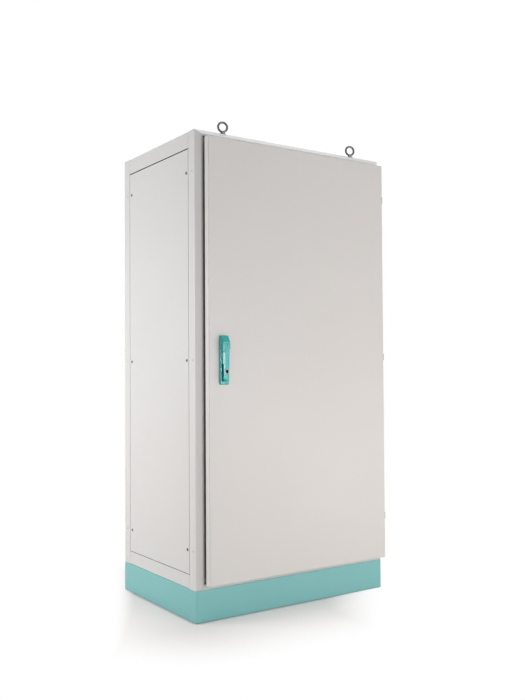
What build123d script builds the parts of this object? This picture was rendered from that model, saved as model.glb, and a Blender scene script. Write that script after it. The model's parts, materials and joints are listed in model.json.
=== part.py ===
from build123d import *
from math import acos, atan2, cos, degrees, pi, radians, sin, tan
import os

os.makedirs("parts", exist_ok=True)

# Overall size of the cabinet, without door and handle
width = 1000.0
depth = 650.0
height = 2000.0
plinth_height = 130.0

# Gaps and folds that many pieces share
overrun = 5.0
seam = 0.9
seat_gap = 0.3
fold_radius = 1.5
running_clearance = 0.05
screw_clearance = 0.2
head_sides = 8
knuckle_sides = 12
shank_sides = 6

# Frame sections
frame_sheet = 2.0
front_leg = 49.5
rear_leg = 55.5
rear_flange = 34.0
cap_leg = 50.0
top_face = 67.0
bottom_face = 57.0
bevel = 20.0
lip = 8.0
gutter_depth = 16.0
gutter_width = 18.0
rebate = 16.0
ledge = 28.0

# Plinth channels and the bolts that hold the body on them
plinth_sheet = 2.5
plinth_flange = 42.0
plinth_bolt_edge = 25.0
plinth_bolt_inset = 70.0
plinth_bolt_radius = 5.0
plinth_bolt_tail = 16.0
plinth_head_radius = 9.8
plinth_head_height = 6.5
anchor_edge = 25.0
anchor_inset = 110.0
anchor_radius = 7.0

# Panels
panel_sheet = 1.5
panel_gap = 2.5
panel_top_gap = 5.0
panel_screw_inset = 97.5
panel_screw_front_edge = 13.5
panel_screw_rear_edge = 20.0
panel_screw_edge = 14.0
screw_head_radius = 6.0
screw_head_height = 2.2
screw_shank_radius = 2.5
screw_tail = 5.0
plug_front_edge = 21.0
plug_rear_edge = 30.0
plug_head_radius = 5.0
plug_head_height = 1.4
plug_stem_radius = 3.6
plug_stem_length = 9.0

# Door
door_sheet = 2.0
door_proud = 63.0
door_return = 27.0
door_side_inset = 27.4
door_top_inset = 37.0
door_bottom_inset = 26.2
door_hem = 9.0
gasket_width = 16.0
gasket_thickness = 12.0

# Door stiffeners, two hat profiles behind the door sheet
stiffener_sheet = 1.5
stiffener_from_side = 165.0
stiffener_end_gap = 90.0
stiffener_foot = 10.0
stiffener_web = 30.0
stiffener_depth = 20.0
stiffener_slot_pitch = 200.0
stiffener_slot_length = 14.0
stiffener_slot_width = 8.0

# Lift-off hinges
hinge_from_side = 16.0
hinge_forward = 31.0
hinge_end_inset = 175.0
hinge_knuckle = 30.0
hinge_barrel_radius = 6.5
hinge_pin_radius = 4.0
hinge_pin_tail = 24.0
hinge_leaf_sheet = 4.0
hinge_leaf_width = 20.0
hinge_web = 5.0
hinge_web_reach_share = 0.94

# Swing handle
handle_from_side = 95.5
handle_bottom = 959.0
handle_height = 199.0
handle_width = 39.0
handle_corner = 6.0
handle_base_thickness = 12.0
handle_edge = 2.0
handle_pocket_depth = 8.0
handle_pocket_wall = 3.2
handle_pocket_end = 14.0
handle_hub_radius = 17.0
handle_block_gap = 1.0
handle_block_rise = 15.0
handle_block_inset = 2.0
handle_block_flat_share = 0.62
handle_dimple_radius = 4.0
handle_dimple_depth = 2.0
handle_dimple_shares = (0.28, 0.5)
handle_screw_end = 8.0
handle_screw_top = 20.0
handle_screw_radius = 2.5
handle_screw_reach = 9.0
handle_screw_head_radius = 5.0
handle_screw_head_height = 4.0

# Lever, its pin and its lock
spindle_below_top = 75.0
spindle_radius = 7.0
lever_gap = 0.5
lever_thickness = 15.0
lever_top_width = 31.0
lever_tip_radius = 13.0
lever_length = 111.0
lever_edge = 5.4
lever_skin = 2.3
lever_grip_inset = 3.2
lever_grip_from = 37.0
lever_grip_to = 97.0
lever_grip_slope = 4.0
lever_scoop_radius = 17.0
lever_scoop_depth = 6.0
lever_tongue = 10.0
lever_tongue_trim = 0.3
lever_slot_below = 5.6
lever_pin_radius = 2.5
lever_pin_reach = 11.0
hub_notch = 8.0
hub_riser_gap = 2.2
lock_below_spindle = 71.0
lock_recess_radius = 12.2
lock_recess_depth = 1.6
lock_ring_radius = 10.0
lock_ring_bore = 7.6
lock_ring_rise = 2.4
lock_plug_radius = 7.2
key_slot_length = 8.0
key_slot_width = 2.0
key_slot_depth = 4.0

# Rod lock behind the door
tooth_module = 2.0
pinion_teeth = 12
pressure_angle = 20.0
pinion_addendum = 1.6
rack_addendum = 1.2
tooth_root_gap = 0.4
tooth_backlash = 0.3
rack_teeth = 7
rack_lead_share = 1.5
rod_back_width = 12.0
rod_thickness = 6.0
rod_standoff = 16.0
rod_end_gap = 3.0
rod_tip_chamfer = 4.0
rod_slide_gap = 0.3
pinion_face = 8.0
gearbox_wall = 4.0
gearbox_web = 3.0
gearbox_height = 90.0
gearbox_side_gap = 0.5
gearbox_cover_sheet = 2.0
door_spindle_hole = 10.0
guide_wall = 4.0
guide_height = 12.0
guide_from_end = 60.0
guide_mid_share = 0.45

# Lifting eyes and their nuts
eye_from_side = 150.0
eye_from_edge = 20.5
eye_ring_radius = 19.8
eye_wire_radius = 4.5
eye_ring_sides = 16
eye_edge = 2.6
eye_ring_height = 35.0
eye_collar_radius = 15.0
eye_collar_height = 6.0
eye_neck_radius = 8.0
eye_neck_height = 14.0
eye_shank_radius = 6.0
eye_shank_length = 22.0
eye_turn = -15.0
eye_nut_size = 30.0
eye_nut_height = 12.0

# Mounting plate and its brackets
plate_sheet = 3.0
plate_from_side = 70.0
plate_from_bottom = 100.0
plate_from_top = 100.0
plate_from_rear = 110.0
plate_flange = 20.0
bracket_sheet = 4.0
bracket_height = 40.0
bracket_overlap = 40.0
bracket_from_end = 100.0

# Gland plates in the floor
gland_sheet = 2.0
gland_lip = 10.0
gland_seat = 22.0
gland_edge = 2.5

# Places worked out from the sizes above
body_height = height - plinth_height
body_middle = plinth_height + body_height / 2
front_y = -depth / 2
rear_y = depth / 2
door_front = front_y - door_proud
door_back = door_front + door_sheet
door_width = width - 2 * door_side_inset
door_bottom = plinth_height + door_bottom_inset
door_top = height - door_top_inset
door_height = door_top - door_bottom
door_middle = (door_bottom + door_top) / 2
seal_inset = bevel + lip + gutter_width
seal_reach = door_proud - door_sheet - gasket_thickness - seat_gap
panel_front = front_y + front_leg + panel_gap
panel_rear = rear_y - rear_leg - panel_gap
panel_bottom = plinth_height + bottom_face + panel_gap
panel_top = height - top_face - panel_top_gap
panel_depth = rebate - seat_gap
handle_x = handle_from_side - width / 2
handle_top = handle_bottom + handle_height
spindle_z = handle_top - spindle_below_top
handle_front = door_front - handle_base_thickness
pitch_radius = tooth_module * pinion_teeth / 2
rod_inner = pitch_radius + pinion_addendum + tooth_root_gap
rod_outer = rod_inner + rod_back_width
rod_front = door_back + rod_standoff
gearbox_half = rod_outer + rod_slide_gap
pinion_front = rod_front - (pinion_face - rod_thickness) / 2
gearbox_back = pinion_front + pinion_face + gearbox_side_gap

LEFT = Vector(-1, 0, 0)
RIGHT = Vector(1, 0, 0)
FRONT = Vector(0, -1, 0)
BACK = Vector(0, 1, 0)
UP = Vector(0, 0, 1)
DOWN = Vector(0, 0, -1)


def save(name, *solids):
    """Write one node; several like solids form one group."""
    shape = solids[0] if len(solids) == 1 else Compound(label=name, children=list(solids))
    shape.label = name
    export_step(shape, f"parts/{name}.step")


def block(low, high):
    """A box between two opposite corners."""
    size = Vector(*high) - Vector(*low)
    centre = Vector(*low) + size / 2
    return Pos(*centre) * Box(*size)


def prism(place, radius, sides, low, high):
    """A bar of few sides that stands on a seat, from one height to another."""
    return extrude(place.offset(low) * RegularPolygon(radius, sides), amount=high - low, dir=place.z_dir)


def bar(start, direction, radius, length):
    """A round bar from a start point."""
    seat = Plane(origin=start, z_dir=direction)
    return seat * Cylinder(radius, length, align=(Align.CENTER, Align.CENTER, Align.MIN))


def bore(start, direction, radius, length):
    """A hole of flat sides in which a round bar of the given radius just turns."""
    outline = RegularPolygon(radius + running_clearance, knuckle_sides, major_radius=False)
    return extrude(Plane(origin=start, z_dir=direction) * outline, amount=length, dir=direction)


def folded_section(path, sheet, rounded=()):
    """The section of a folded sheet: the path is one skin, the sheet lies on its left.

    The folds at the points in rounded show, and are round outside.
    """
    skin = [Vector(*point) for point in path]
    ways = [(after - before).normalized() for before, after in zip(skin, skin[1:])]
    normals = [Vector(-way.Y, way.X) for way in ways]
    other = [skin[0] + normals[0] * sheet]
    for corner, before, after in zip(skin[1:-1], normals, normals[1:]):
        other.append(corner + (before + after) * (sheet / (1 + before.dot(after))))
    other.append(skin[-1] + normals[-1] * sheet)
    section = make_face(Polyline(*skin, *reversed(other), close=True).edges())
    folds = [section.vertices().sort_by_distance(Vector(*point))[0] for point in rounded]
    return fillet(folds, fold_radius + sheet) if folds else section


def profile_bar(section, centre, inward, across, length):
    """A straight length of a section, centred on a point of its outer plane."""
    along = inward.cross(across)
    start = centre - along * (length / 2)
    return extrude(Plane(origin=start, x_dir=inward, z_dir=along) * section, amount=length, dir=along)


def mitred_bar(section, centre, inward, across, length, reach):
    """A profile bar with both ends cut at 45 degrees, as one side of a picture frame."""
    along = inward.cross(across)
    start = centre - along * (length / 2)
    wide = [(-overrun, -overrun), (length + overrun, -overrun)]
    narrow = [(length - reach, reach), (reach, reach)]
    outline = Polygon(*wide, *narrow, align=None)
    mitre = extrude(Plane(origin=start, x_dir=along, z_dir=across) * outline, amount=depth, both=True)
    return profile_bar(section, centre, inward, across, length) & mitre


def tray(length, breadth, deep, sheet):
    """A folded tray: its face lies on the XY plane and its sides go down."""
    top = (Align.CENTER, Align.CENTER, Align.MAX)
    outer = Box(length, breadth, deep, align=top)
    hollow = Pos(0, 0, -sheet) * Box(length - 2 * sheet, breadth - 2 * sheet, deep, align=top)
    return outer - hollow


def rebated_path(face, flange):
    """An angle with a rebate along both edges: a face, a flange and a ledge behind each."""
    near = [(rebate, face + ledge), (rebate, face), (0, face), (0, 0)]
    far = [(flange, 0), (flange, rebate), (flange + ledge, rebate)]
    return near + far


def front_frame_path():
    """The front frame from the panel's ledge round the bevel, lip and gutter to the sealing edge."""
    shoulder = bevel + lip
    gutter_floor = gutter_depth - bevel
    side = [(rebate, front_leg + ledge), (rebate, front_leg), (0, front_leg), (0, 0)]
    nose = [(bevel, -bevel), (shoulder, -bevel), (shoulder, gutter_floor)]
    seal = [(seal_inset, gutter_floor), (seal_inset, -seal_reach)]
    return side + nose + seal


def frame_sides(plane_y):
    """The four sides of the body's outline: name, centre of the outer plane, inward way, length."""
    return [
        ("left", Vector(-width / 2, plane_y, body_middle), RIGHT, body_height),
        ("right", Vector(width / 2, plane_y, body_middle), LEFT, body_height),
        ("top", Vector(0, plane_y, height), DOWN, width),
        ("bottom", Vector(0, plane_y, plinth_height), UP, width),
    ]


def corner_zones():
    """The four long corners between front and rear frame, which the side rails fill."""
    inner = width / 2 - cap_leg - ledge - seam
    top_edge = height - top_face - ledge - seam
    bottom_edge = plinth_height + bottom_face + ledge + seam
    near_y = front_y + front_leg
    far_y = rear_y - rear_leg
    zones = []
    for side in (-1, 1):
        for low_z, high_z in ((plinth_height - overrun, bottom_edge), (top_edge, height + overrun)):
            near_x, far_x = sorted((side * inner, side * (width / 2 + overrun)))
            zones.append(block((near_x, near_y, low_z), (far_x, far_y, high_z)))
    return zones


def side_rows():
    """Heights of the three rows of fasteners on the cabinet's sides."""
    return [panel_bottom + panel_screw_inset, (panel_bottom + panel_top) / 2, panel_top - panel_screw_inset]


def side_places(columns, side):
    """Seats on one side's outer plane, facing out."""
    x = side * width / 2
    return [Plane(origin=(x, y, z), x_dir=BACK, z_dir=RIGHT * side) for y in columns for z in side_rows()]


def screw_holes(places):
    """Holes for the panel screws, through the panel and the ledge behind it."""
    deep = rebate + frame_sheet + overrun
    radius = screw_shank_radius + screw_clearance
    return [prism(place, radius, shank_sides, -deep, overrun) for place in places]


def panel_screw(place):
    """A flat-headed screw with its head on the panel."""
    head = prism(place, screw_head_radius, head_sides, 0, screw_head_height)
    length = rebate + frame_sheet + screw_tail
    return head + prism(place, screw_shank_radius, shank_sides, -length, 0)


def post_plug(place):
    """A push-in plug that closes a hole in a post."""
    head = prism(place, plug_head_radius, head_sides, 0, plug_head_height)
    return head + prism(place, plug_stem_radius, shank_sides, -plug_stem_length, 0)


# Places of the fasteners
screw_columns = (panel_front + panel_screw_front_edge, panel_rear - panel_screw_rear_edge)
plug_columns = (front_y + plug_front_edge, rear_y - plug_rear_edge)
side_screw_places = side_places(screw_columns, -1) + side_places(screw_columns, 1)
plug_places = side_places(plug_columns, -1) + side_places(plug_columns, 1)
rear_half_width = width / 2 - rear_flange - panel_gap
rear_panel_bottom = plinth_height + rear_flange + panel_gap
rear_panel_top = height - rear_flange - panel_gap
rear_screw_x = rear_half_width - panel_screw_edge
rear_screw_places = [
    Plane(origin=(x, rear_y, z), x_dir=UP, z_dir=BACK)
    for x in (-rear_screw_x, rear_screw_x)
    for z in side_rows()
]
roof_half_width = width / 2 - cap_leg - panel_gap
roof_screw_x = roof_half_width - panel_screw_edge
roof_screw_columns = (panel_front + panel_screw_edge, panel_rear - panel_screw_edge)
roof_screw_places = [
    Plane(origin=(x, y, height), x_dir=RIGHT, z_dir=UP)
    for x in (-roof_screw_x, roof_screw_x)
    for y in roof_screw_columns
]
eye_x = width / 2 - eye_from_side
eye_rows = (front_y + eye_from_edge, rear_y - eye_from_edge)
eye_seats = [Plane(origin=(x, y, height)) for x in (-eye_x, eye_x) for y in eye_rows]
bolt_x = width / 2 - plinth_bolt_inset
bolt_y = depth / 2 - plinth_bolt_edge
bolt_seats = [Plane(origin=(x, y, plinth_height)) for x in (-bolt_x, bolt_x) for y in (-bolt_y, bolt_y)]

# Holes that run through the frame
plug_radius = plug_stem_radius + screw_clearance
frame_holes = screw_holes(side_screw_places + rear_screw_places + roof_screw_places)
frame_holes += [prism(seat, plug_radius, shank_sides, -overrun, overrun) for seat in plug_places]
eye_hole = eye_shank_radius + screw_clearance
frame_holes += [prism(seat, eye_hole, shank_sides, -overrun, overrun) for seat in eye_seats]
bolt_hole = plinth_bolt_radius + screw_clearance
bolt_holes = [prism(seat, bolt_hole, shank_sides, -overrun, overrun) for seat in bolt_seats]
frame_cuts = corner_zones() + frame_holes + bolt_holes


def make_frame():
    """Front and rear picture frames, and the rails that join them along both sides."""
    corner = (0, 0)
    nose = (bevel, -bevel)
    front_section = folded_section(front_frame_path(), frame_sheet, (corner, nose))
    front_reach = seal_inset + frame_sheet + overrun
    rear_section = folded_section(rebated_path(rear_leg, rear_flange), frame_sheet, (corner,))
    rear_reach = rear_flange + ledge + overrun
    kinds = {"left": "left_post", "right": "right_post", "top": "top_rail", "bottom": "bottom_rail"}
    for side, centre, inward, length in frame_sides(front_y):
        member = mitred_bar(front_section, centre, inward, BACK, length, front_reach)
        save(f"front_{kinds[side]}", member - frame_cuts)
    for side, centre, inward, length in frame_sides(rear_y):
        member = mitred_bar(rear_section, centre, inward, FRONT, length, rear_reach)
        save(f"rear_{kinds[side]}", member - frame_cuts)
    rail_length = depth - front_leg - rear_leg - 2 * seam
    rail_y = (front_y + front_leg + rear_y - rear_leg) / 2
    ends = (("top", top_face, height, DOWN), ("bottom", bottom_face, plinth_height, UP))
    for side, inward in ((-1, RIGHT), (1, LEFT)):
        name = "left" if side < 0 else "right"
        for end, face, z, across in ends:
            section = folded_section(rebated_path(face, cap_leg), frame_sheet, (corner,))
            centre = Vector(side * width / 2, rail_y, z)
            rail = profile_bar(section, centre, inward, across, rail_length)
            save(f"{name}_{end}_rail", rail - frame_holes)


def make_plinth():
    """Four mitred channels, bolted to the body above and anchored to the floor below."""
    top = plinth_height
    path = [(plinth_flange, top), (0, top), (0, 0), (plinth_flange, 0)]
    section = folded_section(path, plinth_sheet, path[1:-1])
    reach = plinth_flange + overrun
    anchor_x = width / 2 - anchor_inset
    anchor_y = depth / 2 - anchor_edge
    anchors = [
        bar(Vector(x, y, -overrun), UP, anchor_radius, 2 * overrun + plinth_sheet)
        for x in (-anchor_x, anchor_x)
        for y in (-anchor_y, anchor_y)
    ]
    sides = [
        ("front", Vector(0, front_y, 0), BACK, width),
        ("rear", Vector(0, rear_y, 0), FRONT, width),
        ("left", Vector(-width / 2, 0, 0), RIGHT, depth),
        ("right", Vector(width / 2, 0, 0), LEFT, depth),
    ]
    for name, centre, inward, length in sides:
        channel = mitred_bar(section, centre, inward, UP, length, reach)
        save(f"plinth_{name}", channel - anchors - bolt_holes)
    bolts = []
    nuts = []
    nut_hole = plinth_bolt_radius + running_clearance
    nut_top = frame_sheet + plinth_head_height
    for seat in bolt_seats:
        head_bottom = -plinth_sheet - plinth_head_height
        head = prism(seat, plinth_head_radius, shank_sides, head_bottom, -plinth_sheet)
        shank = prism(seat, plinth_bolt_radius, shank_sides, -plinth_sheet, plinth_bolt_tail)
        bolts.append(head + shank)
        nut = prism(seat, plinth_head_radius, shank_sides, frame_sheet, nut_top)
        nuts.append(nut - prism(seat, nut_hole, shank_sides, 0, plinth_bolt_tail))
    save("plinth_bolts", *bolts)
    save("plinth_nuts", *nuts)


def make_panels():
    """Side, rear and roof panels, set flush into the frame, with their screws and the posts' plugs."""
    panel_length = panel_rear - panel_front
    panel_y = (panel_rear + panel_front) / 2
    panel_z = (panel_bottom + panel_top) / 2
    holes = screw_holes(side_screw_places + rear_screw_places + roof_screw_places)
    side_tray = tray(panel_length, panel_top - panel_bottom, panel_depth, panel_sheet)
    for side, name in ((-1, "left"), (1, "right")):
        face = Plane(origin=(side * width / 2, panel_y, panel_z), x_dir=BACK, z_dir=RIGHT * side)
        save(f"{name}_side_panel", face * side_tray - holes)
    rear_tray = tray(2 * rear_half_width, rear_panel_top - rear_panel_bottom, panel_depth, panel_sheet)
    rear_centre = (0, rear_y, (rear_panel_bottom + rear_panel_top) / 2)
    save("rear_panel", Plane(origin=rear_centre, x_dir=RIGHT, z_dir=BACK) * rear_tray - holes)
    roof_tray = tray(2 * roof_half_width, panel_length, panel_depth, panel_sheet)
    save("roof_panel", Pos(0, panel_y, height) * roof_tray - holes)
    save("side_panel_screws", *[panel_screw(place) for place in side_screw_places])
    save("rear_panel_screws", *[panel_screw(place) for place in rear_screw_places])
    save("roof_screws", *[panel_screw(place) for place in roof_screw_places])
    save("post_plugs", *[post_plug(place) for place in plug_places])


def make_floor():
    """Three gland plates that lie on the bottom frame's ledges."""
    seat_z = plinth_height + rebate + frame_sheet
    start = front_y + front_leg + gland_edge
    plate_span = depth - front_leg - rear_leg - 2 * gland_edge
    plate_length = plate_span / 3 - seam
    half = width / 2 - cap_leg - ledge + gland_seat
    path = [(0, gland_lip), (0, 0), (plate_length, 0), (plate_length, gland_lip)]
    section = folded_section(path, gland_sheet)
    for index, name in enumerate(("front", "middle", "rear")):
        corner = (-half, start + index * plate_span / 3, seat_z)
        seat = Plane(origin=corner, x_dir=BACK, z_dir=RIGHT)
        save(f"gland_plate_{name}", extrude(seat * section, amount=2 * half, dir=RIGHT))


def make_mounting_plate():
    """The galvanised plate for the equipment, carried by four brackets on the rear posts."""
    bottom = plinth_height + plate_from_bottom
    top = height - plate_from_top
    half = width / 2 - plate_from_side
    front = rear_y - plate_from_rear
    centre = (0, front, (bottom + top) / 2)
    sheet = tray(2 * half, top - bottom, plate_flange, plate_sheet)
    save("mounting_plate", Plane(origin=centre, x_dir=RIGHT, z_dir=FRONT) * sheet)
    arm_y = front + plate_flange
    foot_x = width / 2 - rebate - frame_sheet
    foot_end = rear_y - rear_leg
    brackets = []
    for side in (-1, 1):
        for z in (bottom + bracket_from_end, top - bracket_from_end):
            low_z = z - bracket_height / 2
            high_z = z + bracket_height / 2
            inner, outer = sorted((side * (half - bracket_overlap), side * foot_x))
            arm = block((inner, arm_y, low_z), (outer, arm_y + bracket_sheet, high_z))
            inner, outer = sorted((side * (foot_x - bracket_sheet), side * foot_x))
            foot = block((inner, arm_y, low_z), (outer, foot_end, high_z))
            brackets.append(arm + foot)
    save("plate_brackets", *brackets)


def lifting_eye(seat):
    """A ring bolt: shank, collar and a ring that is turned a little to the left."""
    shank = prism(seat, eye_shank_radius, shank_sides, -eye_shank_length, 0)
    collar = prism(seat, eye_collar_radius, knuckle_sides, 0, eye_collar_height)
    neck = prism(seat, eye_neck_radius, head_sides, 0, eye_neck_height)
    outside = RegularPolygon(eye_ring_radius + eye_wire_radius, eye_ring_sides)
    inside = RegularPolygon(eye_ring_radius - eye_wire_radius, eye_ring_sides)
    ring = extrude(outside - inside, amount=eye_wire_radius, both=True)
    rims = ring.faces().sort_by(Axis.Z)[0].edges() + ring.faces().sort_by(Axis.Z)[-1].edges()
    ring = chamfer(rims, eye_edge)
    upright = Plane(origin=(0, 0, eye_ring_height), x_dir=UP, z_dir=BACK)
    return collar + neck + shank + seat * Rot(0, 0, eye_turn) * (upright * ring)


def make_lifting_eyes():
    save("lifting_eyes", *[lifting_eye(seat) for seat in eye_seats])
    nuts = []
    nut_hole = eye_shank_radius + running_clearance
    for seat in eye_seats:
        under = (Align.CENTER, Align.CENTER, Align.MAX)
        nut = seat.offset(-frame_sheet) * Box(eye_nut_size, eye_nut_size, eye_nut_height, align=under)
        nuts.append(nut - prism(seat, nut_hole, shank_sides, -eye_shank_length, 0))
    save("lifting_nuts", *nuts)


def hinge_leaf(axis, plate, plate_angle, plate_width):
    """The section of one hinge half: plate, web and knuckle."""
    gap = (plate - axis) * hinge_web_reach_share
    middle = axis + gap / 2
    web = Pos(*middle) * Rot(0, 0, degrees(atan2(gap.Y, gap.X))) * Rectangle(gap.length, hinge_web)
    flat = Pos(*plate) * Rot(0, 0, plate_angle) * Rectangle(plate_width, hinge_leaf_sheet)
    knuckle = Pos(*axis) * RegularPolygon(hinge_barrel_radius, knuckle_sides)
    hole = RegularPolygon(hinge_pin_radius + running_clearance, knuckle_sides, major_radius=False)
    return flat + web + knuckle - Pos(*axis) * hole


def make_hinges():
    """Three lift-off hinges in the right-hand bevel: the frame half carries the pin."""
    axis = Vector(width / 2 - hinge_from_side, front_y - hinge_forward)
    outward = Vector(1, -1).normalized()
    bevel_middle = Vector(width / 2 - bevel / 2, front_y - bevel / 2)
    frame_section = hinge_leaf(axis, bevel_middle + outward * (hinge_leaf_sheet / 2), 45, hinge_leaf_width)
    return_x = width / 2 - door_side_inset + hinge_leaf_sheet / 2
    door_section = hinge_leaf(axis, Vector(return_x, door_front + door_return / 2), 90, hinge_leaf_width)
    frame_leaves = []
    pins = []
    door_leaves = []
    for z in (door_bottom + hinge_end_inset, door_middle, door_top - hinge_end_inset):
        lower = z - hinge_knuckle
        frame_leaves.append(extrude(Pos(0, 0, lower) * frame_section, hinge_knuckle))
        pins.append(bar(Vector(axis.X, axis.Y, lower), UP, hinge_pin_radius, hinge_knuckle + hinge_pin_tail))
        door_leaves.append(extrude(Pos(0, 0, z + seat_gap) * door_section, hinge_knuckle))
    save("hinge_frame_leaves", *frame_leaves)
    save("hinge_pins", *pins)
    save("hinge_door_leaves", *door_leaves)


def handle_screw_seats():
    """Seats of the two screws that hold the handle's base, inside the door."""
    heights = (handle_bottom + handle_screw_end, handle_top - handle_screw_top)
    return [Plane(origin=(handle_x, door_back, z), x_dir=RIGHT, z_dir=BACK) for z in heights]


def make_door():
    """The door tray with a hem round its back, its gasket and its two stiffeners."""
    seat = Plane(origin=(0, door_front, door_middle), x_dir=RIGHT, z_dir=FRONT)
    panel = tray(door_width, door_height, door_return, door_sheet)
    panel = fillet(panel.faces().sort_by(Axis.Z)[-1].edges(), fold_radius + door_sheet)
    low = (Align.CENTER, Align.CENTER, Align.MIN)
    hem_outer = Box(door_width - door_sheet, door_height - door_sheet, door_sheet, align=low)
    hem_hole = Box(door_width - 2 * door_hem, door_height - 2 * door_hem, door_sheet, align=low)
    panel += Pos(0, 0, -door_return) * (hem_outer - hem_hole)
    through = 2 * overrun + door_sheet
    spindle_hole = bar(Vector(handle_x, door_front - overrun, spindle_z), BACK, door_spindle_hole, through)
    radius = handle_screw_radius + screw_clearance
    screw_cuts = [prism(place, radius, shank_sides, -through, overrun) for place in handle_screw_seats()]
    save("door_panel", seat * panel - spindle_hole - screw_cuts)

    seal = seal_inset + frame_sheet / 2
    seal_width = width - 2 * seal
    seal_height = body_height - 2 * seal
    gasket_outer = Box(seal_width + gasket_width, gasket_thickness, seal_height + gasket_width)
    gasket_hole = Box(seal_width - gasket_width, gasket_thickness, seal_height - gasket_width)
    gasket_y = door_back + gasket_thickness / 2
    save("door_gasket", Pos(0, gasket_y, body_middle) * (gasket_outer - gasket_hole))

    half = stiffener_web / 2
    rise = [(-half - stiffener_foot, 0), (-half, 0), (-half, stiffener_depth)]
    fall = [(half, stiffener_depth), (half, 0), (half + stiffener_foot, 0)]
    section = folded_section(rise + fall, stiffener_sheet)
    length = door_height - 2 * stiffener_end_gap
    count = int((length - stiffener_slot_pitch) / stiffener_slot_pitch) + 1
    slot = Box(stiffener_slot_width, 2 * overrun, stiffener_slot_length)
    for side, name in ((-1, "left"), (1, "right")):
        x = side * (width / 2 - stiffener_from_side)
        foot = Plane(origin=(x, door_back, door_bottom + stiffener_end_gap))
        hat = extrude(foot * section, length, dir=UP)
        web_y = door_back + stiffener_depth
        heights = [door_middle + (i - (count - 1) / 2) * stiffener_slot_pitch for i in range(count)]
        save(f"door_stiffener_{name}", hat - [Pos(x, web_y, z) * slot for z in heights])


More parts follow.
